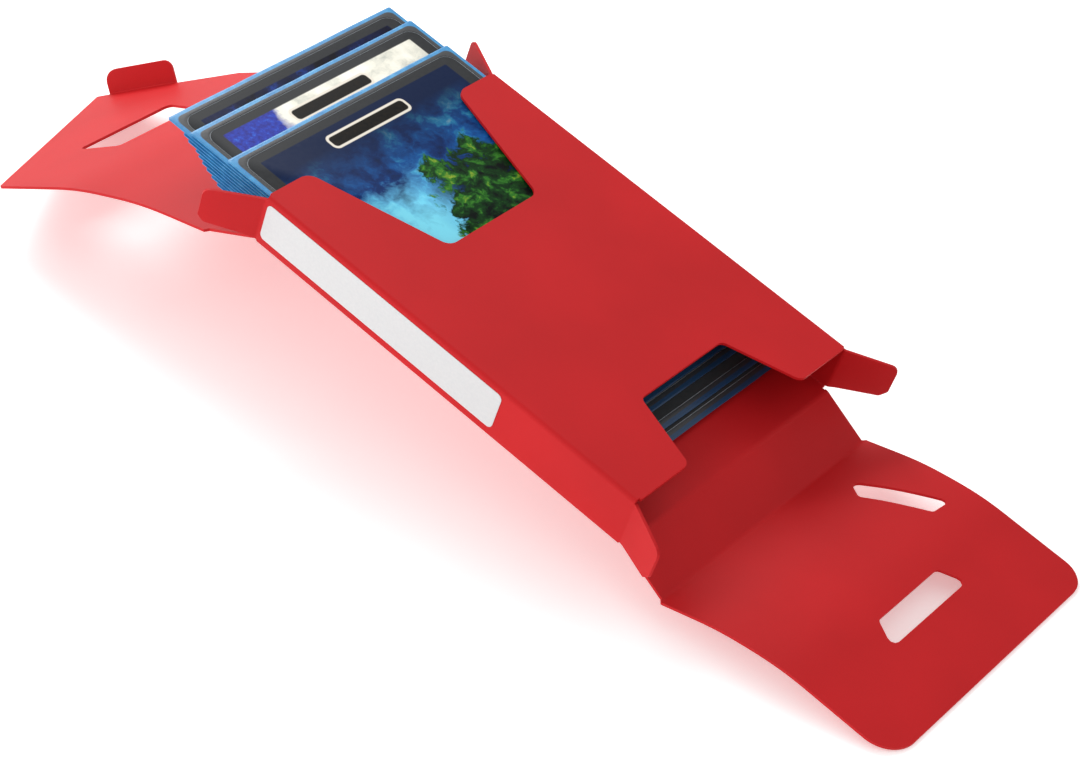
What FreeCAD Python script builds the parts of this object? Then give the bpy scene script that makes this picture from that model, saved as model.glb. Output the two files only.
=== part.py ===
import FreeCAD, Part
import Sketcher
import os
from math import sin, cos, radians

# Folded sheet-plastic deck box, standing open like a bridge on its two lids,
# with a small sleeved deck fanned out of its left mouth.
# Working frame: X along the box, Y across, Z through its thickness, with the
# corner of the closed tube at the origin; everything is then tipped onto the floor.

V = FreeCAD.Vector
os.makedirs("parts", exist_ok=True)
doc = FreeCAD.newDocument("deck_box")
sheet = doc.addObject("Spreadsheet::Sheet", "Sizes")
ROW = [0]
VAL = {}


def cell(alias, value):
    if alias in VAL:
        return alias
    ROW[0] += 1
    addr = "A%d" % ROW[0]
    sheet.set(addr, repr(float(value)))
    sheet.setAlias(addr, alias)
    VAL[alias] = float(value)
    return alias


def letters(n):
    return "abcdefghijklmnopqrstuvwxyz"[n // 26] + "abcdefghijklmnopqrstuvwxyz"[n % 26]


# main sizes, mm
cell("sheet_thick", 0.6)
cell("box_length", 97.67)
cell("box_width", 70.0)
cell("box_depth", 12.5)
cell("fold_radius", 1.0)
cell("left_panel_length", 13.5)
cell("right_panel_length", 12.7)
cell("fold_gap", 0.32)
cell("bend_gap", 0.08)
cell("sleeve_length", 92.0)
cell("sleeve_width", 67.0)
cell("sleeve_thick", 0.70)
cell("card_length", 88.0)
cell("card_width", 63.0)
cell("card_thick", 0.40)
cell("card_corner", 3.0)
cell("card_pitch", 0.73)
cell("label_thick", 0.1)
T = VAL["sheet_thick"]
G = VAL["fold_gap"]
B = VAL["bend_gap"]
L = VAL["box_length"]
W = VAL["box_width"]
D = VAL["box_depth"]

# resting attitude: tipped about Y, then set on the floor over its own centre
TILT = 13.412
SHIFT = V(-28.6833, -34.2934, 35.2262)
BASE = FreeCAD.Placement(SHIFT, FreeCAD.Rotation(V(0, 1, 0), TILT))


def base_plane(body, role):
    for f in body.Origin.OriginFeatures:
        if getattr(f, "Role", "") == role:
            return f
    raise RuntimeError(role)


def wire_in(sk, name, tag, pts, start):
    """Closed outline; every corner is held by cells."""
    n = len(pts)
    for i in range(n):
        a, b = pts[i], pts[(i + 1) % n]
        sk.addGeometry(Part.LineSegment(V(a[0], a[1], 0), V(b[0], b[1], 0)), False)
    for i in range(n):
        sk.addConstraint(Sketcher.Constraint("Coincident", start + i, 2, start + (i + 1) % n, 1))
    for i, (x, y) in enumerate(pts):
        for kind, axis, val in (("DistanceX", -2, x), ("DistanceY", -1, y)):
            if abs(val) < 1e-9:
                sk.addConstraint(Sketcher.Constraint("PointOnObject", start + i, 1, axis))
            else:
                k = sk.addConstraint(Sketcher.Constraint(kind, -1, 1, start + i, 1, val))
                al = cell("%s_%s_%s_%s" % (name, tag, "across" if kind == "DistanceY" else "along", letters(i)), val)
                sk.setExpression("Constraints[%d]" % k, "Sizes." + al)
    return start + n


def round_corners(body, name, feat, groups):
    """groups: list of (radius, [(x, y), ...]) on the upright edges of a plate."""
    for gi, (rad, pts) in enumerate(groups):
        doc.recompute()
        names = []
        for i, e in enumerate(feat.Shape.Edges):
            if len(e.Vertexes) != 2:
                continue
            p, q = e.Vertexes[0].Point, e.Vertexes[1].Point
            if abs(p.x - q.x) > 1e-6 or abs(p.y - q.y) > 1e-6:
                continue
            if any(abs(p.x - x) < 1e-3 and abs(p.y - y) < 1e-3 for x, y in pts):
                names.append("Edge%d" % (i + 1))
        if len(names) != len(pts):
            raise RuntimeError("%s: %d corners of %d found" % (name, len(names), len(pts)))
        fil = body.newObject("PartDesign::Fillet", name + "_round_" + letters(gi))
        fil.Base = (feat, names)
        fil.Radius = rad
        fil.setExpression("Radius", "Sizes." + cell("%s_round_%s" % (name, letters(gi)), rad))
        body.Tip = fil
        feat = fil
    return feat


NODES = []


def plate(name, outer, holes=(), thick="sheet_thick", rounds=(), place=None):
    body = doc.addObject("PartDesign::Body", name)
    body.Label = name
    sk = body.newObject("Sketcher::SketchObject", name + "_outline")
    sk.AttachmentSupport = [(base_plane(body, "XY_Plane"), "")]
    sk.MapMode = "FlatFace"
    nxt = wire_in(sk, name, "edge", outer, 0)
    for hi, h in enumerate(holes):
        nxt = wire_in(sk, name, "slot_" + letters(hi), h, nxt)
    pad = body.newObject("PartDesign::Pad", name + "_sheet")
    pad.Profile = sk
    pad.Length = VAL[thick]
    pad.setExpression("Length", "Sizes." + thick)
    body.Tip = pad
    round_corners(body, name, pad, rounds)
    body.Placement = place
    NODES.append(body)
    return body


def at(x, y, z, turn=0.0, drop=0.0):
    """Frame at a point of the box, turned about Y, then shifted along its own normal."""
    return BASE.multiply(FreeCAD.Placement(V(x, y, z), FreeCAD.Rotation(V(0, 1, 0), turn))).multiply(
        FreeCAD.Placement(V(0, 0, drop), FreeCAD.Rotation()))


# ---------------------------------------------------------------- the tube
R1 = VAL["fold_radius"]
cell("fold_flange", 1.2)
FLANGE = VAL["fold_flange"]
PW = W - 2 * FLANGE
END = 0.3          # front panel stops this far inside the end-panel plane
x0 = 0.02
plate("back_panel", [(0, 0), (L - 2 * x0, 0), (L - 2 * x0, PW), (0, PW)], place=at(x0, FLANGE, 0))

FL = L - 2 * END
lip = 12.0 - FLANGE
bot = 21.3 - FLANGE
dep = 30.8 - END
nlip = 16.2 - FLANGE
nbot = 21.8 - FLANGE
ndep = 80.8 - END
plate("front_panel",
      [(0, 0), (FL, 0), (FL, nlip), (ndep, nbot), (ndep, PW - nbot), (FL, PW - nlip), (FL, PW), (0, PW),
       (0, PW - lip), (dep, PW - bot), (dep, bot), (0, lip)],
      rounds=[(3.0, [(0, lip), (0, PW - lip)]), (2.6, [(dep, bot), (dep, PW - bot)]),
              (1.6, [(ndep, nbot), (ndep, PW - nbot)]), (2.0, [(FL, nlip), (FL, PW - nlip)])],
      place=at(END, FLANGE, D - T))


def side_panel(name, near):
    """Side wall with the two long folds, drawn as its own cross-section."""
    body = doc.addObject("PartDesign::Body", name)
    body.Label = name
    sk = body.newObject("Sketcher::SketchObject", name + "_section")
    sk.AttachmentSupport = [(base_plane(body, "YZ_Plane"), "")]
    sk.MapMode = "FlatFace"
    # section across the wall: outer face on the axis, short flanges at both long folds
    wire_in(sk, name, "section",
            [(0, 0), (FLANGE, 0), (FLANGE, T), (T, T), (T, D - T), (FLANGE, D - T), (FLANGE, D), (0, D)], 0)
    pad = body.newObject("PartDesign::Pad", name + "_sheet")
    pad.Profile = sk
    ln = L - 1.42
    pad.Length = ln
    pad.setExpression("Length", "Sizes." + cell("side_length", ln))
    body.Tip = pad
    feat = pad
    for tag, rad, al, spots in (("outer", R1, "fold_radius", [(0, 0), (0, D)]),
                                ("inner", R1 - T, "inner_fold_radius", [(T, T), (T, D - T)])):
        cell(al, rad)
        doc.recompute()
        names = []
        for i, e in enumerate(feat.Shape.Edges):
            if len(e.Vertexes) != 2:
                continue
            p, q = e.Vertexes[0].Point, e.Vertexes[1].Point
            if abs(p.x - q.x) < 1.0:
                continue
            if any(abs(p.y - y) < 1e-3 and abs(p.z - z) < 1e-3 for y, z in spots):
                names.append("Edge%d" % (i + 1))
        if len(names) != 2:
            raise RuntimeError("%s %s folds: %d" % (name, tag, len(names)))
        fil = body.newObject("PartDesign::Fillet", name + "_" + tag + "_folds")
        fil.Base = (feat, names)
        fil.Radius = rad
        fil.setExpression("Radius", "Sizes." + al)
        body.Tip = fil
        feat = fil
    pl = BASE.multiply(FreeCAD.Placement(V(0.7, 0, 0), FreeCAD.Rotation()))
    if not near:
        # turned half round about X for the far side
        pl = BASE.multiply(FreeCAD.Placement(V(0.7, W, D), FreeCAD.Rotation(V(1, 0, 0), 180)))
    body.Placement = pl
    NODES.append(body)
    return body


side_panel("label_side_panel", True)
side_panel("plain_side_panel", False)

# glued seam flap against the inside of the plain side
seam = doc.addObject("Part::Box", "seam_flap")
seam.Label = "seam_flap"
for prop, al, v in (("Length", "seam_length", 88.0), ("Width", "seam_thick", 0.55), ("Height", "seam_height", 9.6)):
    setattr(seam, prop, v)
    seam.setExpression(prop, "Sizes." + cell(al, v))
seam.Placement = BASE.multiply(FreeCAD.Placement(V(5.0, W - T - 0.57, 1.45), FreeCAD.Rotation()))
NODES.append(seam)

# blank paper label on the near side; drawn flat, then stood on its long edge
lab = plate("side_label", [(0, 0), (62.6, 0), (62.6, 8.9), (0, 8.9)], thick="label_thick",
            rounds=[(1.2, [(0, 0), (62.6, 0), (62.6, 8.9), (0, 8.9)])],
            place=BASE.multiply(FreeCAD.Placement(V(1.3, 0.0, 2.3), FreeCAD.Rotation(V(1, 0, 0), 90))))


# ---------------------------------------------------------------- end panels and lids
def left_turn(a):
    return 180.0 + a


def walk(x, z, a, ln, side):
    s = -1.0 if side == "left" else 1.0
    return x + s * ln * cos(radians(a)), z + ln * sin(radians(a))


def place_for(side, x, z, a):
    turn = 180.0 + a if side == "left" else -a
    return at(x, 0, z, turn, -T / 2)


# left
HL = (-0.30, 0.30)
AL0 = -32.4
AL = [-19.8, -29.0, -38.0]
LL = [18.3, 19.6]
E = 0.9
ln = VAL["left_panel_length"]
plate("left_end_panel", [(G, E), (ln - G, E), (ln - G, W - E), (G, W - E)], place=place_for("left", HL[0], HL[1], AL0))
x, z = walk(HL[0], HL[1], AL0, ln, "left")
plate("left_lid_1", [(G, 0), (LL[0] - B, 0), (LL[0] - B, W), (G, W)],
      rounds=[(1.2, [(G, 0), (G, W)])], place=place_for("left", x, z, AL[0]))
x, z = walk(x, z, AL[0], LL[0], "left")
plate("left_lid_2", [(B, 0), (LL[1] - B, 0), (LL[1] - B, W), (B, W)], place=place_for("left", x, z, AL[1]))
x, z = walk(x, z, AL[1], LL[1], "left")
XL3, ZL3 = x, z
# long tail: oblique free end, one wide slot, far corner cut back to the tab
S0 = LL[0] + LL[1]
TA = (94.6 - S0, 55.5)
TB = (74.6 - S0, 64.5)
plate("left_lid_3",
      [(B, 0), (64.0 - S0, 0), TA, TB, (60.0 - S0, W), (B, W)],
      holes=[[(50.9 - S0, 24.0), (62.3 - S0, 21.6), (62.3 - S0, 49.6), (50.9 - S0, 47.2)]],
      rounds=[(0.8, [(64.0 - S0, 0)]), (2.0, [(60.0 - S0, W)]),
              (1.4, [(50.9 - S0, 24.0), (62.3 - S0, 21.6), (62.3 - S0, 49.6), (50.9 - S0, 47.2)])],
      place=place_for("left", x, z, AL[2]))

# locking tab, hinged on the oblique line TA-TB and folded up from the tail
TAB_UP = 85.0
tl = ((TB[0] - TA[0]) ** 2 + (TB[1] - TA[1]) ** 2) ** 0.5
ux, uy = (TB[0] - TA[0]) / tl, (TB[1] - TA[1]) / tl
cell("tab_length", 17.6)
cell("tab_reach", 6.2)
import math
tail = at(XL3, 0, ZL3, left_turn(AL[2]), 0.0)
# local x runs along the fold, local y away from the tail
tab_frame = FreeCAD.Placement(V(TA[0] + uy * 0.0, TA[1], 0), FreeCAD.Rotation(V(0, 0, 1), math.degrees(math.atan2(uy, ux))))
# away-from-tail direction is to the right of TA->TB seen in the tail's own axes
tab_up = FreeCAD.Placement(V(0, 0, 0), FreeCAD.Rotation(V(1, 0, 0), TAB_UP - 180.0))
off = 3.3
TG = 0.7          # the tab folds past upright, so its crease is wider
plate("left_tab", [(0, TG), (17.6, TG), (17.6, 6.2), (0, 6.2)],
      rounds=[(3.0, [(0, 6.2)]), (2.2, [(17.6, 6.2)])],
      place=tail.multiply(tab_frame).multiply(tab_up).multiply(FreeCAD.Placement(V(off, 0, -T / 2), FreeCAD.Rotation())))

# right
HR = (L + 0.30, 0.30)
AR0 = -23.7
AR = [21.0, 11.8, 0.0]
LR = [13.7, 13.7]
ln = VAL["right_panel_length"]
plate("right_end_panel", [(G, E), (ln - G, E), (ln - G, W - E), (G, W - E)], place=place_for("right", HR[0], HR[1], AR0))
x, z = walk(HR[0], HR[1], AR0, ln, "right")
plate("right_lid_1",
      [(G, 0), (LR[0] - B, 0), (LR[0] - B, 53.5), (10.4, 51.9), (6.3, 54.9), (LR[0] - B, 59.1), (LR[0] - B, W), (G, W)],
      rounds=[(1.2, [(G, 0), (G, W)]), (1.2, [(10.4, 51.9), (6.3, 54.9)])], place=place_for("right", x, z, AR[0]))
x, z = walk(x, z, AR[0], LR[0], "right")
plate("right_lid_2",
      [(B, 0), (LR[1] - B, 0), (LR[1] - B, W), (B, W), (B, 59.2), (10.7, 64.0), (10.1, 58.5), (B, 53.6)],
      rounds=[(1.2, [(10.7, 64.0), (10.1, 58.5)])], place=place_for("right", x, z, AR[1]))
x, z = walk(x, z, AR[1], LR[1], "right")
plate("right_lid_3",
      [(B, 0), (27.0, 0), (27.0, W), (B, W)],
      holes=[[(5.7, 25.0), (11.4, 21.7), (11.4, 48.3), (5.7, 45.6)]],
      rounds=[(7.0, [(27.0, 0)]), (5.5, [(27.0, W)]), (1.3, [(5.7, 25.0), (11.4, 21.7), (11.4, 48.3), (5.7, 45.6)])],
      place=place_for("right", x, z, AR[2]))


# ---------------------------------------------------------------- dust flaps
# hinged on upright lines at the ends of the side walls; drawn in their own plane
def flap(name, hx, hy, sx, sy, out_deg, pts, rounds):
    # local x: away from the hinge, local y: up the wall; the plate is then centred on the hinge line
    c, s = cos(radians(out_deg)), sin(radians(out_deg))
    ex = V(sx * c, sy * s, 0)
    ey = V(0, 0, 1)
    ez = ex.cross(ey)
    rot = FreeCAD.Rotation(ex, ey, ez, "XYZ")
    pl = BASE.multiply(FreeCAD.Placement(V(hx, hy, 0), rot)).multiply(FreeCAD.Placement(V(0, 0, -T / 2), FreeCAD.Rotation()))
    plate(name, pts, rounds=rounds, place=pl)


for nm, hx, hy, sx, sy, od, ln in (
        ("near_left_flap", 0.38, T / 2, -1, -1, 40.0, 12.4),
        ("far_left_flap", 0.38, W - T / 2, -1, 1, 30.0, 12.4),
        ("near_right_flap", L - 0.40, T / 2, 1, -1, 27.0, 11.4),
        ("far_right_flap", L - 0.40, W - T / 2, 1, 1, 33.0, 12.0)):
    pts = [(G, 0.9), (1.6, 1.4), (ln - 1.4, 2.6), (ln, 4.2), (ln, 11.0), (G, 11.6)]
    flap(nm, hx, hy, sx, sy, od, pts, [(1.3, [(ln, 4.2)]), (1.6, [(ln, 11.0)])])

# ---------------------------------------------------------------- the deck
# left end of each sleeve, top to bottom
LEFTS = [-12.0, -22.4, -28.6, -24.0, -22.6, -20.2, -19.2, -18.0, -16.6, -15.0, -13.2, -11.2, -7.0, -4.4]
TOP = 11.75
for i, lx in enumerate(LEFTS):
    zt = TOP - VAL["card_pitch"] * i
    z0 = zt - VAL["sleeve_thick"]
    nm = "sleeve_%02d" % (i + 1)
    outer = doc.addObject("Part::Box", nm + "_film")
    for prop, al in (("Length", "sleeve_length"), ("Width", "sleeve_width"), ("Height", "sleeve_thick")):
        setattr(outer, prop, VAL[al])
        outer.setExpression(prop, "Sizes." + al)
    pocket = doc.addObject("Part::Box", nm + "_pocket")
    for prop, al, v in (("Length", "pocket_length", 91.0), ("Width", "pocket_width", 63.8), ("Height", "pocket_height", 0.46)):
        setattr(pocket, prop, v)
        pocket.setExpression(prop, "Sizes." + cell(al, v))
    pocket.Placement = FreeCAD.Placement(V(1.6, 1.6, 0.12), FreeCAD.Rotation())
    cut = doc.addObject("Part::Cut", nm)
    cut.Base = outer
    cut.Tool = pocket
    cut.Label = nm
    cut.Placement = BASE.multiply(FreeCAD.Placement(V(lx, 1.5, z0), FreeCAD.Rotation()))
    NODES.append(cut)
    cn = "card_%02d" % (i + 1)
    cl, cw = VAL["card_length"], VAL["card_width"]
    body = doc.addObject("PartDesign::Body", cn)
    body.Label = cn
    sk = body.newObject("Sketcher::SketchObject", cn + "_outline")
    sk.AttachmentSupport = [(base_plane(body, "XY_Plane"), "")]
    sk.MapMode = "FlatFace"
    pts = [(0, 0), (cl, 0), (cl, cw), (0, cw)]
    for k in range(4):
        a, b = pts[k], pts[(k + 1) % 4]
        sk.addGeometry(Part.LineSegment(V(a[0], a[1], 0), V(b[0], b[1], 0)), False)
    for k in range(4):
        sk.addConstraint(Sketcher.Constraint("Coincident", k, 2, (k + 1) % 4, 1))
    for k, kind in ((0, "Horizontal"), (2, "Horizontal"), (1, "Vertical"), (3, "Vertical")):
        sk.addConstraint(Sketcher.Constraint(kind, k))
    sk.addConstraint(Sketcher.Constraint("Coincident", 0, 1, -1, 1))
    k = sk.addConstraint(Sketcher.Constraint("DistanceX", 0, 1, 0, 2, cl))
    sk.setExpression("Constraints[%d]" % k, "Sizes.card_length")
    k = sk.addConstraint(Sketcher.Constraint("DistanceY", 1, 1, 1, 2, cw))
    sk.setExpression("Constraints[%d]" % k, "Sizes.card_width")
    pad = body.newObject("PartDesign::Pad", cn + "_board")
    pad.Profile = sk
    pad.Length = VAL["card_thick"]
    pad.setExpression("Length", "Sizes.card_thick")
    body.Tip = pad
    doc.recompute()
    names = ["Edge%d" % (j + 1) for j, e in enumerate(pad.Shape.Edges)
             if len(e.Vertexes) == 2 and abs(e.Vertexes[0].Z - e.Vertexes[1].Z) > 0.1]
    fil = body.newObject("PartDesign::Fillet", cn + "_corners")
    fil.Base = (pad, names)
    fil.Radius = VAL["card_corner"]
    fil.setExpression("Radius", "Sizes.card_corner")
    body.Tip = fil
    body.Placement = BASE.multiply(FreeCAD.Placement(V(lx + 2.0, 3.5, z0 + 0.15), FreeCAD.Rotation()))
    NODES.append(body)

# ---------------------------------------------------------------- check and write
doc.recompute()
bad = []
for o in doc.Objects:
    if "Invalid" in o.State or "Error" in o.State:
        bad.append((o.Name, o.State))
for o in NODES:
    if o.Shape.isNull() or not o.Shape.isValid() or not o.Shape.Solids:
        bad.append((o.Name, "shape"))
if bad:
    raise RuntimeError("bad objects: %s" % bad)
lo = [1e9] * 3
hi = [-1e9] * 3
for o in NODES:
    b = o.Shape.optimalBoundingBox(True, False) if hasattr(o.Shape, "optimalBoundingBox") else o.Shape.BoundBox
    for k, (a, c) in enumerate(((b.XMin, b.XMax), (b.YMin, b.YMax), (b.ZMin, b.ZMax))):
        lo[k] = min(lo[k], a)
        hi[k] = max(hi[k], c)
    o.Shape.exportStep("parts/%s.step" % o.Label)
    if o.Label in ("left_lid_3", "right_lid_3"):
        print(o.Label, "lowest", round(b.ZMin, 4))
print("nodes", len(NODES), "low", [round(v, 4) for v in lo], "high", [round(v, 4) for v in hi])
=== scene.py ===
import bpy
import math
import random
import numpy as np
from mathutils import Vector, Matrix
from mathutils.geometry import delaunay_2d_cdt


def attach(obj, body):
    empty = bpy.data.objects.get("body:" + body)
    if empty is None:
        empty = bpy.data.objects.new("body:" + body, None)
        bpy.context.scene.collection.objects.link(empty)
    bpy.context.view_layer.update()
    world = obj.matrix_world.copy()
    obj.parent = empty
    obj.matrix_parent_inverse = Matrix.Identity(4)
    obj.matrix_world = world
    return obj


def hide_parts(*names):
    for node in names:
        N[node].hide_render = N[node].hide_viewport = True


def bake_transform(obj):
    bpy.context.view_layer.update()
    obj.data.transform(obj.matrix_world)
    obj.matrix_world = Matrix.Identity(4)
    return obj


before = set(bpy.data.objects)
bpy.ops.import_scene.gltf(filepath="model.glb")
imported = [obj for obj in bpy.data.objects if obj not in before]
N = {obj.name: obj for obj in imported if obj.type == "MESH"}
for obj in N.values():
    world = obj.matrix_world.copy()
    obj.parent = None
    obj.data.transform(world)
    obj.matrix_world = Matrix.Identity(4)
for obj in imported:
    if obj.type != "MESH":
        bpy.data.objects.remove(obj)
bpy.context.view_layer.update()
random.seed(7)

# ------------------------------------------------------------------ box frame
TILT = math.radians(13.412)
SHIFT = (-28.6833, -34.2935, 35.2262)
CT, ST = math.cos(TILT), math.sin(TILT)


def row(p):
    """A point of the box, in mm, as a point of the row frame, in metres."""
    x, y, z = p
    return Vector(((x * CT + z * ST + SHIFT[0]) / 1000, (y + SHIFT[1]) / 1000, (-x * ST + z * CT + SHIFT[2]) / 1000))


def rowdir(v):
    x, y, z = v
    return Vector((x * CT + z * ST, y, -x * ST + z * CT))


T = 0.6
L, W, D = 97.67, 70.0, 12.5


# ------------------------------------------------------------------ materials
def new_mat(name):
    m = bpy.data.materials.new(name)
    m.use_nodes = True
    nt = m.node_tree
    nt.nodes.clear()
    out = nt.nodes.new("ShaderNodeOutputMaterial")
    b = nt.nodes.new("ShaderNodeBsdfPrincipled")
    nt.links.new(b.outputs[0], out.inputs[0])
    return m, nt, b, out


def node(nt, kind, **kw):
    n = nt.nodes.new(kind)
    for k, v in kw.items():
        if k.startswith("i_"):
            n.inputs[k[2:]].default_value = v
        else:
            setattr(n, k, v)
    return n


def obj_coords(nt, scale=1000.0):
    tc = node(nt, "ShaderNodeTexCoord")
    mp = node(nt, "ShaderNodeMapping")
    mp.inputs["Scale"].default_value = (scale, scale, scale)
    nt.links.new(tc.outputs["Object"], mp.inputs["Vector"])
    return mp.outputs["Vector"]


def noise(nt, vec, scale, detail=3.0, rough=0.5, dims="3D"):
    n = node(nt, "ShaderNodeTexNoise")
    n.inputs["Scale"].default_value = scale
    n.inputs["Detail"].default_value = detail
    n.inputs["Roughness"].default_value = rough
    if vec is not None:
        nt.links.new(vec, n.inputs["Vector"])
    return n


def ramp(nt, fac, stops, mode="LINEAR"):
    r = node(nt, "ShaderNodeValToRGB")
    r.color_ramp.interpolation = mode
    els = r.color_ramp.elements
    while len(els) < len(stops):
        els.new(0.5)
    for e, (p, c) in zip(els, stops):
        e.position = p
        e.color = (c[0], c[1], c[2], 1.0)
    nt.links.new(fac, r.inputs["Fac"])
    return r


def math_node(nt, op, a, b=None, c=None, clamp=False):
    n = node(nt, "ShaderNodeMath", operation=op, use_clamp=clamp)
    for i, v in enumerate((a, b, c)):
        if v is None:
            continue
        if isinstance(v, (int, float)):
            n.inputs[i].default_value = v
        else:
            nt.links.new(v, n.inputs[i])
    return n.outputs[0]


def mix(nt, fac, a, b):
    m = node(nt, "ShaderNodeMix", data_type="RGBA", blend_type="MIX")
    ins = [i for i in m.inputs if i.enabled]
    for idx, v in ((0, fac), (6, a), (7, b)):
        s = m.inputs[idx]
        if isinstance(v, tuple):
            s.default_value = (v[0], v[1], v[2], 1.0)
        elif isinstance(v, (int, float)):
            s.default_value = v
        else:
            nt.links.new(v, s)
    return m.outputs[2]


def red_material(name, base=(0.56, 0.0085, 0.0115), rough=0.56, seed=0.0):
    m, nt, b, out = new_mat(name)
    vec = obj_coords(nt)
    off = node(nt, "ShaderNodeVectorMath", operation="ADD")
    nt.links.new(vec, off.inputs[0])
    off.inputs[1].default_value = (seed, seed * 1.7, seed * 0.3)
    v = off.outputs[0]
    big = noise(nt, v, 0.035, 3.0)
    fine = noise(nt, v, 7.0, 2.0, 0.6)
    col = ramp(nt, big.outputs["Fac"], [(0.3, (base[0] * 0.93, base[1] * 0.9, base[2] * 0.9)), (0.7, (base[0] * 1.06, base[1] * 1.12, base[2] * 1.12))])
    speck = ramp(nt, fine.outputs["Fac"], [(0.35, (0.93, 0.93, 0.93)), (0.7, (1.04, 1.04, 1.04))])
    mul = node(nt, "ShaderNodeMix", data_type="RGBA", blend_type="MULTIPLY")
    mul.inputs[0].default_value = 1.0
    nt.links.new(col.outputs[0], mul.inputs[6])
    nt.links.new(speck.outputs[0], mul.inputs[7])
    nt.links.new(mul.outputs[2], b.inputs["Base Color"])
    rr = ramp(nt, fine.outputs["Fac"], [(0.3, (rough - 0.05,) * 3), (0.75, (rough + 0.08,) * 3)])
    nt.links.new(rr.outputs[0], b.inputs["Roughness"])
    b.inputs["IOR"].default_value = 1.49
    b.inputs["Specular IOR Level"].default_value = 0.2
    bump = node(nt, "ShaderNodeBump")
    bump.inputs["Strength"].default_value = 0.10
    bump.inputs["Distance"].default_value = 0.00004
    grain = noise(nt, v, 3.2, 4.0, 0.65)
    nt.links.new(grain.outputs["Fac"], bump.inputs["Height"])
    nt.links.new(bump.outputs[0], b.inputs["Normal"])
    return m


RED = red_material("red polypropylene sheet")


def label_material():
    m, nt, b, out = new_mat("blank paper label")
    vec = obj_coords(nt)
    fib = noise(nt, vec, 1.4, 5.0, 0.65)
    col = ramp(nt, fib.outputs["Fac"], [(0.3, (0.62, 0.624, 0.63)), (0.7, (0.67, 0.67, 0.67))])
    nt.links.new(col.outputs[0], b.inputs["Base Color"])
    rr = ramp(nt, fib.outputs["Fac"], [(0.3, (0.42,) * 3), (0.7, (0.55,) * 3)])
    nt.links.new(rr.outputs[0], b.inputs["Roughness"])
    bump = node(nt, "ShaderNodeBump")
    bump.inputs["Strength"].default_value = 0.08
    bump.inputs["Distance"].default_value = 0.00003
    nt.links.new(fib.outputs["Fac"], bump.inputs["Height"])
    nt.links.new(bump.outputs[0], b.inputs["Normal"])
    return m


def sleeve_material():
    m, nt, b, out = new_mat("blue sleeve film")
    vec = obj_coords(nt)
    n1 = noise(nt, vec, 0.5, 3.0)
    n2 = noise(nt, vec, 4.5, 3.0, 0.6)
    col = ramp(nt, n1.outputs["Fac"], [(0.3, (0.03, 0.235, 0.53)), (0.55, (0.045, 0.30, 0.62)), (0.75, (0.09, 0.40, 0.72))])
    sp = ramp(nt, n2.outputs["Fac"], [(0.35, (0.82, 0.86, 0.9)), (0.68, (1.12, 1.1, 1.06))])
    mul = node(nt, "ShaderNodeMix", data_type="RGBA", blend_type="MULTIPLY")
    mul.inputs[0].default_value = 1.0
    nt.links.new(col.outputs[0], mul.inputs[6])
    nt.links.new(sp.outputs[0], mul.inputs[7])
    sx = node(nt, "ShaderNodeSeparateXYZ")
    nt.links.new(vec, sx.inputs[0])
    # painted shade: from x = -10 mm in the row frame the blue film fades to dark navy over 25 mm, standing in for
    # the shade on the sleeve ends inside the tube
    end_shade_mask = math_node(nt, "MULTIPLY", math_node(nt, "SUBTRACT", sx.outputs[0], -10.0), 1 / 25.0, clamp=True)
    shade = mix(nt, end_shade_mask, mul.outputs[2], (0.012, 0.055, 0.135))
    # inside the weld line the film shows its dark inner face; film_uv.x holds the distance in from the edge, in mm
    fu = node(nt, "ShaderNodeUVMap", uv_map="film_uv")
    fs = node(nt, "ShaderNodeSeparateXYZ")
    nt.links.new(fu.outputs[0], fs.inputs[0])
    inner = math_node(nt, "MULTIPLY", math_node(nt, "SUBTRACT", fs.outputs[0], 0.95), 6.0, clamp=True)
    film = mix(nt, inner, shade, (0.040, 0.043, 0.047))
    nt.links.new(film, b.inputs["Base Color"])
    rr = ramp(nt, n2.outputs["Fac"], [(0.3, (0.26,) * 3), (0.75, (0.44,) * 3)])
    nt.links.new(rr.outputs[0], b.inputs["Roughness"])
    b.inputs["IOR"].default_value = 1.5
    bump = node(nt, "ShaderNodeBump")
    bump.inputs["Strength"].default_value = 0.25
    bump.inputs["Distance"].default_value = 0.00008
    nt.links.new(n2.outputs["Fac"], bump.inputs["Height"])
    nt.links.new(bump.outputs[0], b.inputs["Normal"])
    return m


def box_mask(nt, u, v, u0, u1, v0, v1, rad, soft):
    """1 inside a rounded rectangle in (u, v) mm, 0 outside."""
    cu, cv, hu, hv = (u0 + u1) / 2, (v0 + v1) / 2, (u1 - u0) / 2 - rad, (v1 - v0) / 2 - rad
    du = math_node(nt, "MAXIMUM", math_node(nt, "SUBTRACT", math_node(nt, "ABSOLUTE", math_node(nt, "SUBTRACT", u, cu)), hu), 0.0)
    dv = math_node(nt, "MAXIMUM", math_node(nt, "SUBTRACT", math_node(nt, "ABSOLUTE", math_node(nt, "SUBTRACT", v, cv)), hv), 0.0)
    d = math_node(nt, "SQRT", math_node(nt, "ADD", math_node(nt, "MULTIPLY", du, du), math_node(nt, "MULTIPLY", dv, dv)))
    e = math_node(nt, "DIVIDE", math_node(nt, "SUBTRACT", rad, d), soft)
    return math_node(nt, "ADD", e, 0.5, clamp=True)


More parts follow.
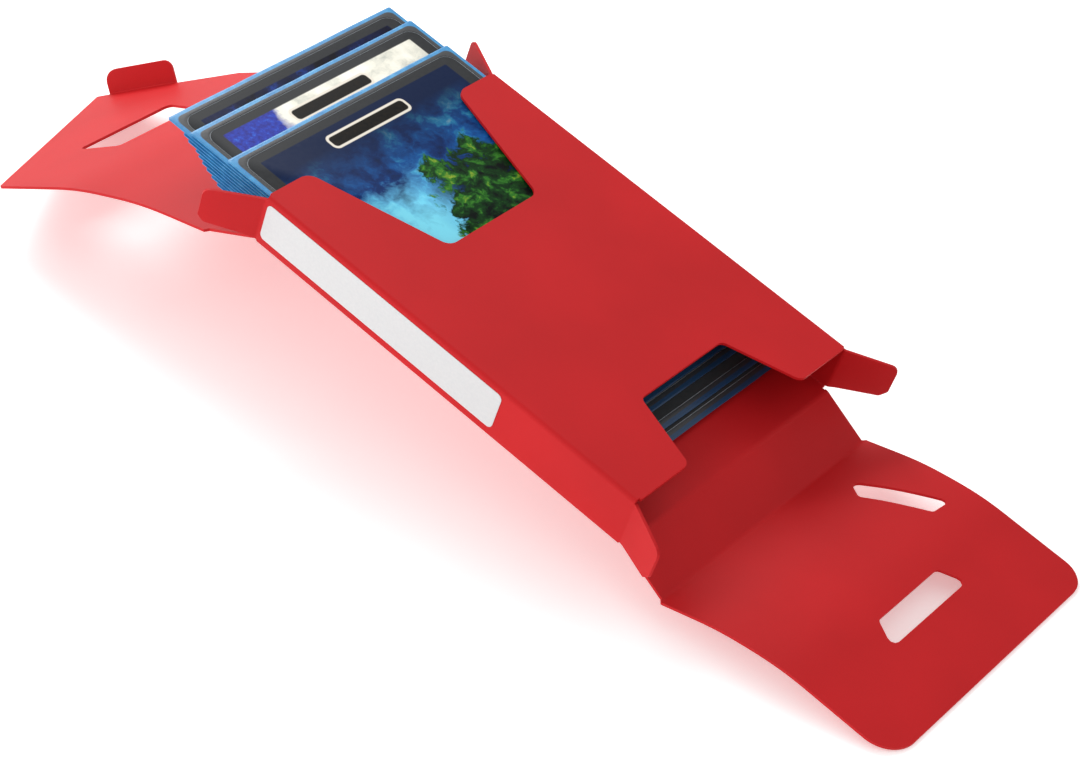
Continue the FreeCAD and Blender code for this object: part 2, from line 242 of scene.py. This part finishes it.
def card_material(name, kind, seed):
    """Printed card: pale edge line, dark grey border, abstract art chosen by kind (a painted sky on kind 0), and a
    blank title plate on kinds 0 and 1.
    """
    m, nt, b, out = new_mat(name)
    uvn = node(nt, "ShaderNodeUVMap", uv_map="card_uv")
    sep = node(nt, "ShaderNodeSeparateXYZ")
    nt.links.new(uvn.outputs[0], sep.inputs[0])
    u = math_node(nt, "MULTIPLY", sep.outputs[0], 63.0)
    v = math_node(nt, "MULTIPLY", sep.outputs[1], 88.0)
    sc = node(nt, "ShaderNodeMapping")
    sc.inputs["Scale"].default_value = (63.0, 88.0, 1.0)
    sc.inputs["Location"].default_value = (seed, seed * 0.7, 0)
    nt.links.new(uvn.outputs[0], sc.inputs["Vector"])
    vec = sc.outputs["Vector"]
    warp = noise(nt, vec, 0.09, 4.0, 0.6)
    wv = node(nt, "ShaderNodeVectorMath", operation="MULTIPLY_ADD")
    nt.links.new(warp.outputs["Color"], wv.inputs[0])
    wv.inputs[1].default_value = (9.0, 9.0, 9.0)
    nt.links.new(vec, wv.inputs[2])
    cloud = noise(nt, wv.outputs[0], 0.13, 6.0, 0.6)
    fine = noise(nt, vec, 0.9, 5.0, 0.65)
    if kind == 0:      # blue night sky with drifting cloud and a dark leafy mass
        sky = ramp(nt, cloud.outputs["Fac"], [(0.28, (0.002, 0.006, 0.03)), (0.42, (0.004, 0.04, 0.20)), (0.54, (0.01, 0.15, 0.52)),
                                              (0.62, (0.05, 0.48, 0.85)), (0.74, (0.60, 0.90, 1.0))])
        # darker towards the plate's top edge
        top = math_node(nt, "MULTIPLY", math_node(nt, "SUBTRACT", v, 7.0), 1 / 24.0, clamp=True)
        sky2 = mix(nt, top, (0.003, 0.012, 0.05), sky.outputs[0])
        # pale cloud bank low down on the near side
        bank = math_node(nt, "MULTIPLY", math_node(nt, "SUBTRACT", math_node(nt, "ADD", v, math_node(nt, "MULTIPLY", cloud.outputs["Fac"], 26.0)), 32.0), 1 / 14.0, clamp=True)
        side = math_node(nt, "SUBTRACT", 1.0, math_node(nt, "MULTIPLY", math_node(nt, "SUBTRACT", u, 22.0), 1 / 12.0, clamp=True), clamp=True)
        sky3 = mix(nt, math_node(nt, "MULTIPLY", bank, side), sky2, (0.22, 0.74, 0.92))
        leaf = noise(nt, wv.outputs[0], 0.30, 7.0, 0.62)
        green = ramp(nt, leaf.outputs["Fac"], [(0.38, (0.001, 0.004, 0.003)), (0.52, (0.006, 0.045, 0.008)), (0.62, (0.035, 0.19, 0.02)), (0.76, (0.42, 0.50, 0.04))])
        hu = math_node(nt, "SUBTRACT", u, 40.0)
        hv = math_node(nt, "SUBTRACT", v, 36.0)
        dist = math_node(nt, "SQRT", math_node(nt, "ADD", math_node(nt, "MULTIPLY", hu, hu), math_node(nt, "MULTIPLY", hv, math_node(nt, "MULTIPLY", hv, 0.75))))
        hill = math_node(nt, "MULTIPLY", math_node(nt, "SUBTRACT", math_node(nt, "ADD", -6.0, math_node(nt, "ADD", math_node(nt, "MULTIPLY", cloud.outputs["Fac"], 26.0), math_node(nt, "MULTIPLY", leaf.outputs["Fac"], 14.0))), dist), 0.5, clamp=True)
        art = mix(nt, hill, sky3, green.outputs[0])
    elif kind == 1:    # pale haze over indigo
        base = ramp(nt, cloud.outputs["Fac"], [(0.3, (0.45, 0.47, 0.42)), (0.5, (0.85, 0.83, 0.72)), (0.7, (0.98, 0.97, 0.90))])
        ind = ramp(nt, fine.outputs["Fac"], [(0.35, (0.02, 0.02, 0.22)), (0.6, (0.03, 0.06, 0.45)), (0.75, (0.05, 0.25, 0.8))])
        edge = math_node(nt, "MULTIPLY", math_node(nt, "SUBTRACT", math_node(nt, "ADD", u, math_node(nt, "MULTIPLY", cloud.outputs["Fac"], 10.0)), 21.0), 0.35, clamp=True)
        art = mix(nt, edge, ind.outputs[0], base.outputs[0])
    elif kind == 2:    # nearly black blue
        r1 = ramp(nt, cloud.outputs["Fac"], [(0.35, (0.001, 0.001, 0.006)), (0.55, (0.003, 0.008, 0.05)), (0.68, (0.01, 0.05, 0.30))])
        art = r1.outputs[0]
    else:
        r1 = ramp(nt, cloud.outputs["Fac"], [(0.35, (0.01, 0.02, 0.03)), (0.6, (0.03, 0.06, 0.08)), (0.75, (0.10, 0.16, 0.2))])
        art = r1.outputs[0]
    grime = ramp(nt, fine.outputs["Fac"], [(0.3, (0.030, 0.032, 0.034)), (0.7, (0.040, 0.042, 0.045))])
    inner = box_mask(nt, u, v, 3.2, 59.8, 2.3, 84.5, 0.3, 0.25)
    face = mix(nt, inner, grime.outputs[0], art)
    if kind in (0, 1):
        rim = box_mask(nt, u, v, 19.6, 43.2, 4.1, 8.2, 1.4, 0.2)
        core = box_mask(nt, u, v, 20.2, 42.6, 4.7, 7.6, 0.9, 0.2)
        face = mix(nt, rim, face, (0.80, 0.74, 0.64))
        plate = ramp(nt, fine.outputs["Fac"], [(0.35, (0.002, 0.002, 0.002)), (0.65, (0.012, 0.009, 0.006))])
        face = mix(nt, core, face, plate.outputs[0])
    line = box_mask(nt, u, v, 0.14, 62.86, 0.14, 87.86, 2.85, 0.12)
    face = mix(nt, line, (0.42, 0.46, 0.50), face)
    nt.links.new(face, b.inputs["Base Color"])
    rr = ramp(nt, fine.outputs["Fac"], [(0.3, (0.42,) * 3), (0.7, (0.52,) * 3)])
    nt.links.new(rr.outputs[0], b.inputs["Roughness"])
    b.inputs["IOR"].default_value = 1.14
    bump = node(nt, "ShaderNodeBump")
    bump.inputs["Strength"].default_value = 0.05
    bump.inputs["Distance"].default_value = 0.00003
    nt.links.new(fine.outputs["Fac"], bump.inputs["Height"])
    nt.links.new(bump.outputs[0], b.inputs["Normal"])
    return m


LABEL = label_material()
SLEEVE = sleeve_material()
CARD = [card_material("printed card %d" % k, k, 11.3 * (k + 1)) for k in range(4)]


def give(o, mat):
    o.data.materials.clear()
    o.data.materials.append(mat)


# ------------------------------------------------------------------ bent sheet
def smooth(t):
    return t * t * (3 - 2 * t)


class Bend:
    """A sheet that starts at origin along d0, bends towards n0, and runs straight across along w.
    parts: list of (s0, s1, heading0, heading1) in mm and degrees; pins: optional {s: (along d0, along n0)}."""

    def __init__(self, origin, d0, n0, w, parts, pins=None):
        self.o, self.d0, self.n0, self.w = Vector(origin), Vector(d0), Vector(n0), Vector(w)
        self.parts = parts
        s0, s1 = parts[0][0], parts[-1][1]
        self.s = np.arange(s0, s1 + 0.04, 0.02)
        self.h = np.radians([self._head(s) for s in self.s])
        x = np.concatenate([[0], np.cumsum((np.cos(self.h[1:]) + np.cos(self.h[:-1])) / 2 * 0.02)])
        z = np.concatenate([[0], np.cumsum((np.sin(self.h[1:]) + np.sin(self.h[:-1])) / 2 * 0.02)])
        if pins:
            ks = sorted(pins)
            ex = [pins[k][0] - np.interp(k, self.s, x) for k in ks]
            ez = [pins[k][1] - np.interp(k, self.s, z) for k in ks]
            x = x + np.interp(self.s, ks, ex)
            z = z + np.interp(self.s, ks, ez)
        self.x, self.z = x, z

    def _head(self, s):
        for a, b, h0, h1 in self.parts:
            if s <= b + 1e-9:
                t = min(max((s - a) / (b - a), 0), 1)
                return h0 + (h1 - h0) * smooth(t)
        return self.parts[-1][3]

    def at(self, s, y=0.0, e=0.0):
        x = float(np.interp(s, self.s, self.x))
        z = float(np.interp(s, self.s, self.z))
        h = float(np.interp(s, self.s, self.h))
        c, q = math.cos(h), math.sin(h)
        return self.o + self.d0 * (x - q * e) + self.n0 * (z + c * e) + self.w * y


def rounded(pts):
    """pts: (s, y, radius). Returns the outline with its corners turned into arcs."""
    out = []
    n = len(pts)
    for i, (x, y, r) in enumerate(pts):
        p = Vector((x, y))
        if r <= 0:
            out.append(p)
            continue
        a = (Vector(pts[i - 1][:2]) - p).normalized()
        b = (Vector(pts[(i + 1) % n][:2]) - p).normalized()
        ang = math.acos(max(-1, min(1, a.dot(b))))
        t = r / math.tan(ang / 2)
        c = p + (a + b).normalized() * (r / math.sin(ang / 2))
        p0, p1 = p + a * t, p + b * t
        k = max(3, int(r * 3))
        a0 = math.atan2(p0.y - c.y, p0.x - c.x)
        a1 = math.atan2(p1.y - c.y, p1.x - c.x)
        da = (a1 - a0 + math.pi) % (2 * math.pi) - math.pi
        for j in range(k + 1):
            q = a0 + da * j / k
            out.append(Vector((c.x + r * math.cos(q), c.y + r * math.sin(q))))
    return out


def inside(p, poly):
    res = False
    n = len(poly)
    j = n - 1
    for i in range(n):
        a, b = poly[i], poly[j]
        if (a.y > p[1]) != (b.y > p[1]) and p[0] < (b.x - a.x) * (p[1] - a.y) / (b.y - a.y) + a.x:
            res = not res
        j = i
    return res


def near_edge(p, polys, d):
    q = Vector(p)
    for poly in polys:
        for i in range(len(poly)):
            a, b = poly[i - 1], poly[i]
            ab = b - a
            t = 0 if ab.length_squared < 1e-12 else max(0, min(1, (q - a).dot(ab) / ab.length_squared))
            if (a + ab * t - q).length < d:
                return True
    return False


def sheet(name, bend, outline, holes, cuts, owners, mat, step=1.2, thick=T):
    """One die-cut sheet, split at cuts into strips; a strip whose owner is one body name rides with that body, and a
    crease strip whose owner lists two bodies stays fixed where it is built.
    """
    polys = [outline] + holes
    verts, edges = [], []
    for poly in polys:
        st = len(verts)
        for i, p in enumerate(poly):
            verts.append(Vector((p.x, p.y)))
            edges.append((st + i, st + (i + 1) % len(poly)))
    ylo, yhi = min(p.y for p in outline), max(p.y for p in outline)
    slo, shi = min(p.x for p in outline), max(p.x for p in outline)
    for c in cuts:
        st = len(verts)
        verts += [Vector((c, ylo - 1)), Vector((c, yhi + 1))]
        edges.append((st, st + 1))
    # denser rows where the sheet bends
    rows = []
    for a, b, h0, h1 in bend.parts:
        if b <= slo or a >= shi:
            continue
        k = max(2, int((b - a) / (step if abs(h1 - h0) > 1 else 4.0)))
        if abs(h1 - h0) > 20:
            k = 12
        rows += [a + (b - a) * i / k for i in range(1, k)]
    for sv in rows:
        if sv <= slo or sv >= shi:
            continue
        if any(abs(sv - c) < 0.03 for c in cuts):
            continue
        st = len(verts)
        verts += [Vector((sv, ylo - 1)), Vector((sv, yhi + 1))]
        edges.append((st, st + 1))
    ny = max(2, int((yhi - ylo) / 4.0))
    for i in range(1, ny):
        st = len(verts)
        yy = ylo + (yhi - ylo) * i / ny
        verts += [Vector((slo - 1, yy)), Vector((shi + 1, yy))]
        edges.append((st, st + 1))
    cv, ce, cf = delaunay_2d_cdt(verts, edges, [], 0, 1e-4)[:3]
    tris = []
    for f in cf:
        c = sum((cv[i] for i in f), Vector((0, 0))) / len(f)
        if inside(c, outline) and not any(inside(c, h) for h in holes):
            tris.append(tuple(f))
    count = {}
    for f in tris:
        for i in range(len(f)):
            a, b = f[i], f[(i + 1) % len(f)]
            count[(min(a, b), max(a, b))] = count.get((min(a, b), max(a, b)), 0) + 1
    marks = [-1e9] + sorted(cuts) + [1e9]
    made = []
    for k in range(len(marks) - 1):
        part = [f for f in tris if marks[k] <= sum(cv[i].x for i in f) / len(f) < marks[k + 1]]
        if not part:
            made.append(None)
            continue
        used = sorted({i for f in part for i in f})
        idx = {v: n for n, v in enumerate(used)}
        co = []
        for e in (thick / 2, -thick / 2):
            for i in used:
                co.append(row(bend.at(cv[i].x, cv[i].y, e)))
        m = len(used)
        faces = []
        flip = bend.d0.cross(bend.w).dot(bend.n0) < 0
        for f in part:
            top = [idx[i] for i in f]
            if flip:
                top = top[::-1]
            faces.append(top)
            faces.append([m + i for i in top[::-1]])
            loop = top
            for i in range(len(loop)):
                a, b = loop[i], loop[(i + 1) % len(loop)]
                va, vb = used[a], used[b]
                if count[(min(va, vb), max(va, vb))] == 1:
                    faces.append([b, a, m + a, m + b])
        me = bpy.data.meshes.new(name + "_%d" % k)
        me.from_pydata(co, [], faces)
        me.validate()
        for p in me.polygons:
            p.use_smooth = True
        me.set_sharp_from_angle(angle=math.radians(40))
        ob = bpy.data.objects.new(name + "_%d" % k, me)
        bpy.context.scene.collection.objects.link(ob)
        give(ob, mat)
        own = owners[k]
        if isinstance(own, str):
            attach(ob, own)
        else:
            ym = own[2] if len(own) > 2 else (ylo + yhi) / 2
            row(bend.at(marks[k], ym))
            row(bend.at(marks[k + 1], ym))
            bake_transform(ob)
        made.append(ob)
    return made


def chain(x, z, steps, sgn):
    """Corner points of a folded line: steps are (length, heading)."""
    pts = [(x, z)]
    for ln, a in steps:
        x += sgn * ln * math.cos(math.radians(a))
        z += ln * math.sin(math.radians(a))
        pts.append((x, z))
    return pts


def pins_for(corners, lengths, s_list, sgn, ox, oz):
    """Where each station lies on the folded line, relative to the sheet's start."""
    marks = np.concatenate([[0], np.cumsum(lengths)])
    xs = [c[0] for c in corners]
    zs = [c[1] for c in corners]
    return {s: ((float(np.interp(s, marks, xs)) - ox) * sgn, float(np.interp(s, marks, zs)) - oz) for s in s_list}


# left end panel and long lid
LP, RP = 13.5, 12.7
lc = chain(-0.30, 0.30, [(LP, -32.4), (18.3, -19.8), (19.6, -29.0), (57.1, -38.0)], -1)
P1, P2, P3, P4, P5 = LP + 9.15, LP + 18.3 + 9.8, LP + 37.9 + 9.8, 0, LP + 95.0
lparts = [(-0.32, 0.9, 0, -32.4), (0.9, LP - 0.9, -32.4, -32.4), (LP - 0.9, LP + 0.9, -32.4, -19.8),
          (LP + 0.9, P1, -19.8, -19.8), (P1, P2, -19.8, -29.0), (P2, P3, -29.0, -38.0), (P3, P5 + 1, -38.0, -38.0)]
stations = [1.0, LP - 0.9, LP + 0.9, P1, P2, P3, P5]
lp = pins_for(lc, [LP, 18.3, 19.6, 57.1], stations, -1, 0.02, 0.30)
lp[-0.32] = (0.0, 0.0)
LB = Bend((0.02, 0, 0.30), (-1, 0, 0), (0, 0, 1), (0, 1, 0), lparts, lp)
S = LP
left_outline = rounded([(-0.32, 0.9, 0), (LP - 0.35, 0.9, 0), (LP + 0.35, 0.0, 0), (S + 64.0, 0, 0.8), (S + 94.6, 55.5, 0), (S + 91.6, 56.85, 0), (S + 75.5, 64.1, 0), (S + 74.6, 64.5, 0),
                        (S + 60, 70, 2.0), (LP + 0.35, 70.0, 0), (LP - 0.35, 69.1, 0), (-0.32, 69.1, 0)])
left_slot = rounded([(S + 50.9, 24.0, 1.4), (S + 62.3, 21.6, 1.4), (S + 62.3, 49.6, 1.4), (S + 50.9, 47.2, 1.4)])
sheet("left_end", LB, left_outline, [left_slot], [0.9, LP - 0.9, LP + 0.9, P1, P2, P3],
      [("tube", "left_panel"), "left_panel", ("left_panel", "left_lid_root"), "left_lid_root",
       ("left_lid_root", "left_lid_middle"), ("left_lid_middle", "left_lid_tail"), "left_lid_tail"], RED)
for nm, src in (("left_end_1", "left_end_panel"), ("left_end_3", "left_lid_1"), ("left_end_4", "left_lid_2"), ("left_end_6", "left_lid_3")):
    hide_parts(src)

# tab on the oblique line at the long lid's tip
A = LB.at(S + 94.6, 55.5)
Bp = LB.at(S + 74.6, 64.5)
e = (Bp - A).normalized()
h = math.radians(-38.0)
nrm = Vector((math.sin(h), 0, math.cos(h)))
nrm = Vector((math.sin(h), 0.0, math.cos(h))) if nrm.z > 0 else -nrm
away = e.cross(nrm)
if away.y < 0:
    away = -away
TB_ = Bend(A + e * 3.3 - away * 0.1, away, nrm, e, [(0.0, 1.0, 0, 85.0), (1.0, 6.4, 85.0, 85.0)])
tab_outline = rounded([(0.0, 0.0, 0), (6.3, 0.0, 3.0), (6.3, 17.6, 2.2), (0.0, 17.6, 0)])
sheet("left_tab_sheet", TB_, tab_outline, [], [1.0], [("left_lid_tail", "left_tab"), "left_tab"], RED)
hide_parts("left_tab")

# right end panel and short lid
rc = chain(L + 0.30, 0.30, [(RP, -23.7), (13.7, 21.0), (13.7, 11.8), (27.0, 0.0)], 1)
Q1, Q2, Q3, Q5 = RP + 6.85, RP + 20.55, RP + 36.0, RP + 54.4
rparts = [(-0.32, 0.9, 0, -23.7), (0.9, RP - 0.9, -23.7, -23.7), (RP - 0.9, RP + 0.9, -23.7, 21.0),
          (RP + 0.9, Q1, 21.0, 21.0), (Q1, Q2, 21.0, 11.8), (Q2, Q3, 11.8, 0.0), (Q3, Q5 + 1, 0.0, 0.0)]
rp = pins_for(rc, [RP, 13.7, 13.7, 27.0], [1.0, RP - 0.9, RP + 0.9, Q1, Q2, Q3, Q5], 1, L - 0.02, 0.30)
rp[-0.32] = (0.0, 0.0)
RB = Bend((L - 0.02, 0, 0.30), (1, 0, 0), (0, 0, 1), (0, 1, 0), rparts, rp)
S = RP
right_outline = rounded([(-0.32, 0.9, 0), (RP - 0.35, 0.9, 0), (RP + 0.35, 0.0, 0), (S + 54.4, 0, 7.0), (S + 54.4, 70.0, 5.5),
                         (RP + 0.35, 70.0, 0), (RP - 0.35, 69.1, 0), (-0.32, 69.1, 0)])
slot_a = rounded([(S + 6.2, 55.3, 1.2), (S + 10.4, 51.9, 1.2), (S + 23.8, 58.4, 0.9), (S + 24.4, 63.9, 1.0)])
slot_b = rounded([(S + 33.1, 25.0, 1.3), (S + 38.8, 21.7, 1.3), (S + 38.8, 48.3, 1.3), (S + 33.1, 45.6, 1.3)])
sheet("right_end", RB, right_outline, [slot_a, slot_b], [0.9, RP - 0.9, RP + 0.9, Q1, Q2, Q3],
      [("tube", "right_panel"), "right_panel", ("right_panel", "right_lid_root"), "right_lid_root",
       ("right_lid_root", "right_lid_middle"), ("right_lid_middle", "right_lid_end"), "right_lid_end"], RED)
for nm, src in (("right_end_1", "right_end_panel"), ("right_end_3", "right_lid_1"), ("right_end_4", "right_lid_2"), ("right_end_6", "right_lid_3")):
    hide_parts(src)

# dust flaps with their own soft folds
FLAPS = (("near_left_flap", 0.70, T / 2, -1, -1, 40.0, 12.4), ("far_left_flap", 0.70, W - T / 2, -1, 1, 30.0, 12.4),
         ("near_right_flap", L - 0.72, T / 2, 1, -1, 27.0, 11.4), ("far_right_flap", L - 0.72, W - T / 2, 1, 1, 33.0, 12.0))
for nm, hx, hy, sx, sy, deg, ln in FLAPS:
    fb = Bend((hx, hy, 0), (sx, 0, 0), (0, sy, 0), (0, 0, 1), [(0.0, 0.9, 0, deg), (0.9, ln + 0.4, deg, deg)])
    ol = rounded([(0.0, 0.9, 0), (1.9, 1.4, 0), (ln - 1.08, 2.6, 1.0), (ln + 0.32, 4.2, 1.0), (ln + 0.32, 11.0, 1.6), (0.0, 11.6, 0)])
    sheet(nm + "_sheet", fb, ol, [], [0.9], [("tube", nm), nm], RED)
    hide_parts(nm)

# tube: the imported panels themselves
for nm in ("back_panel", "front_panel", "label_side_panel", "plain_side_panel", "seam_flap"):
    give(N[nm], RED)
    me = N[nm].data
give(N["side_label"], LABEL)

# ------------------------------------------------------------------ the deck
LEFTS = [-12.0, -22.4, -28.6, -24.0, -22.6, -20.2, -19.2, -18.0, -16.6, -15.0, -13.2, -11.2, -7.0, -4.4]
TOP, PITCH = 11.75, 0.73
SL, SW, STK = 92.0, 67.0, 0.70


def ring(x0, x1, y0, y1, r, nx=24, ny=18, nc=5):
    """Rounded rectangle, counter-clockwise, with a fixed number of points."""
    pts = []
    for cx, cy, a0 in ((x1 - r, y0 + r, -90), (x1 - r, y1 - r, 0), (x0 + r, y1 - r, 90), (x0 + r, y0 + r, 180)):
        for j in range(nc + 1):
            a = math.radians(a0 + 90.0 * j / nc)
            pts.append((cx + r * math.cos(a), cy + r * math.sin(a)))
        # straight run to the next corner
        nxt = {-90: ((x1, y1 - r), ny), 0: ((x0 + r, y1), nx), 90: ((x0, y0 + r), ny), 180: ((x1 - r, y0), nx)}[a0]
        (ex, ey), cnt = nxt
        sx_, sy_ = pts[-1]
        for j in range(1, cnt):
            pts.append((sx_ + (ex - sx_) * j / cnt, sy_ + (ey - sy_) * j / cnt))
    return pts


def mesh_obj(name, co, faces, mat, body, smooth_deg=50):
    me = bpy.data.meshes.new(name)
    me.from_pydata([row(c) for c in co], [], faces)
    me.validate()
    for p in me.polygons:
        p.use_smooth = True
    me.set_sharp_from_angle(angle=math.radians(smooth_deg))
    ob = bpy.data.objects.new(name, me)
    bpy.context.scene.collection.objects.link(ob)
    give(ob, mat)
    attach(ob, body)
    return ob


for i, lx in enumerate(LEFTS):
    zt = TOP - PITCH * i
    z0 = zt - STK
    rnd = random.Random(100 + i)
    x0, x1, y0, y1 = lx, lx + SL, 1.5, 1.5 + SW
    # film: from the card's edge out over the welded rim and back under
    prof = [(2.02, 0.53, 2.9), (2.0, 0.64, 2.9), (1.5, 0.66, 2.4), (0.75, 0.52, 1.2), (0.45, 0.50, 0.9), (0.12, 0.47, 0.6), (0.0, 0.40, 0.5), (0.03, 0.26, 0.5),
            (0.5, 0.17, 0.9), (1.3, 0.05, 2.0), (2.4, 0.0, 3.0)]
    loops = []
    ph = rnd.uniform(0, 6.28)
    for inset, zz, r in prof:
        lp_ = []
        for k, (x, y) in enumerate(ring(x0 + inset, x1 - inset, y0 + inset, y1 - inset, r)):
            wob = 0.0
            if inset < 1.0:
                wob = 0.07 * (0.5 + 0.5 * math.sin(k * 0.9 + ph)) + 0.05 * rnd.random()
            cx, cy = (x0 + x1) / 2, (y0 + y1) / 2
            dx, dy = cx - x, cy - y
            q = math.hypot(dx, dy)
            lp_.append((x + dx / q * wob, y + dy / q * wob, z0 + min(max(zz, 0), 0.69)))
        loops.append(lp_)
    co = [p for lp_ in loops for p in lp_]
    n = len(loops[0])
    faces = []
    for a in range(len(loops) - 1):
        for k in range(n):
            k2 = (k + 1) % n
            faces.append([a * n + k2, a * n + k, (a + 1) * n + k, (a + 1) * n + k2])
    last = (len(loops) - 1) * n
    faces.append([last + k for k in range(n)][::-1])
    body = "deck_%02d" % (i + 1)
    film = mesh_obj("sleeve_film_%02d" % (i + 1), co, faces, SLEEVE, body)
    fuv = film.data.uv_layers.new(name="film_uv")
    for poly in film.data.polygons:
        for li in poly.loop_indices:
            row_i, k = divmod(film.data.loops[li].vertex_index, n)
            fuv.data[li].uv = (prof[row_i][0] if row_i <= 5 else 0.0, k / n)
    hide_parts("sleeve_%02d" % (i + 1))
    # card
    cx0, cx1, cy0, cy1 = lx + 2.0, lx + 90.0, 3.5, 66.5
    cl = []
    for inset, zz in ((0.0, 0.16), (0.0, 0.53), (0.04, 0.55)):
        cl.append([(x, y, z0 + zz) for x, y in ring(cx0 + inset, cx1 - inset, cy0 + inset, cy1 - inset, 3.0 - inset, 6, 5, 6)])
    n = len(cl[0])
    co = [p for c in cl for p in c]
    faces = [[k for k in range(n)][::-1]]
    for a in range(2):
        for k in range(n):
            k2 = (k + 1) % n
            faces.append([a * n + k, a * n + k2, (a + 1) * n + k2, (a + 1) * n + k])
    faces.append([2 * n + k for k in range(n)])
    kind = i if i < 3 else 3
    card = mesh_obj("card_face_%02d" % (i + 1), co, faces, CARD[kind], body, 30)
    uv = card.data.uv_layers.new(name="card_uv")
    for poly in card.data.polygons:
        for li in poly.loop_indices:
            p = co[card.data.loops[li].vertex_index]
            uv.data[li].uv = ((p[1] - cy0) / 63.0, (p[0] - cx0) / 88.0)
    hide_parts("card_%02d" % (i + 1))

# ------------------------------------------------------------------ stage
def floor_material():
    m, nt, b, out = new_mat("pale floor")
    vec = obj_coords(nt, 1.0)
    n1 = noise(nt, vec, 40.0, 3.0)
    c = ramp(nt, n1.outputs["Fac"], [(0.3, (0.95, 0.95, 0.95)), (0.7, (0.97, 0.97, 0.97))])
    nt.links.new(c.outputs[0], b.inputs["Base Color"])
    b.inputs["Roughness"].default_value = 0.7
    b.inputs["Specular IOR Level"].default_value = 0.2
    b.inputs["Emission Color"].default_value = (1.0, 1.0, 1.0, 1.0)
    b.inputs["Emission Strength"].default_value = 0.34
    return m


me = bpy.data.meshes.new("floor")
me.from_pydata([(-6, -6, 0), (6, -6, 0), (6, 6, 0), (-6, 6, 0)], [], [(0, 1, 2, 3)])
floor = bpy.data.objects.new("floor", me)
bpy.context.scene.collection.objects.link(floor)
give(floor, floor_material())

world = bpy.data.worlds.new("studio")
bpy.context.scene.world = world
world.use_nodes = True
bg = world.node_tree.nodes["Background"]
bg.inputs[0].default_value = (1.0, 1.0, 1.0, 1.0)
bg.inputs[1].default_value = 0.66
bpy.context.scene.view_settings.view_transform = "Standard"


def area(name, loc, target, size, power, col=(1, 1, 1)):
    ld = bpy.data.lights.new(name, "AREA")
    ld.energy = power
    ld.size = size
    ld.color = col
    ob = bpy.data.objects.new(name, ld)
    ob.location = loc
    d = Vector(target) - Vector(loc)
    ob.rotation_euler = d.to_track_quat("-Z", "Y").to_euler()
    bpy.context.scene.collection.objects.link(ob)
    return ob


area("key", (-0.52, 0.26, 0.50), (-0.02, 0, 0.03), 0.45, 3.8)
area("fill", (-0.55, -0.70, 0.32), (-0.02, 0, 0.03), 0.6, 3.1)

# ------------------------------------------------------------------ camera
RC = np.array([[0.734347, 0.624734, 0.265409], [0.602149, -0.419109, -0.679533], [-0.313292, 0.658828, -0.683954]])
CAM = (232.45169, -342.17862, 376.72084)
cd = bpy.data.cameras.new("camera")
cd.sensor_width = 36.0
cd.sensor_fit = "HORIZONTAL"
cd.lens = 2805.13125 / 1080 * 36
cd.clip_start = 0.01
cam = bpy.data.objects.new("camera", cd)
bpy.context.scene.collection.objects.link(cam)
right, down, fwd = rowdir(RC[0]), rowdir(RC[1]), rowdir(RC[2])
mat = Matrix((right, -down, -fwd)).transposed().to_4x4()
mat.translation = row(CAM)
cam.matrix_world = mat
bpy.context.scene.camera = cam
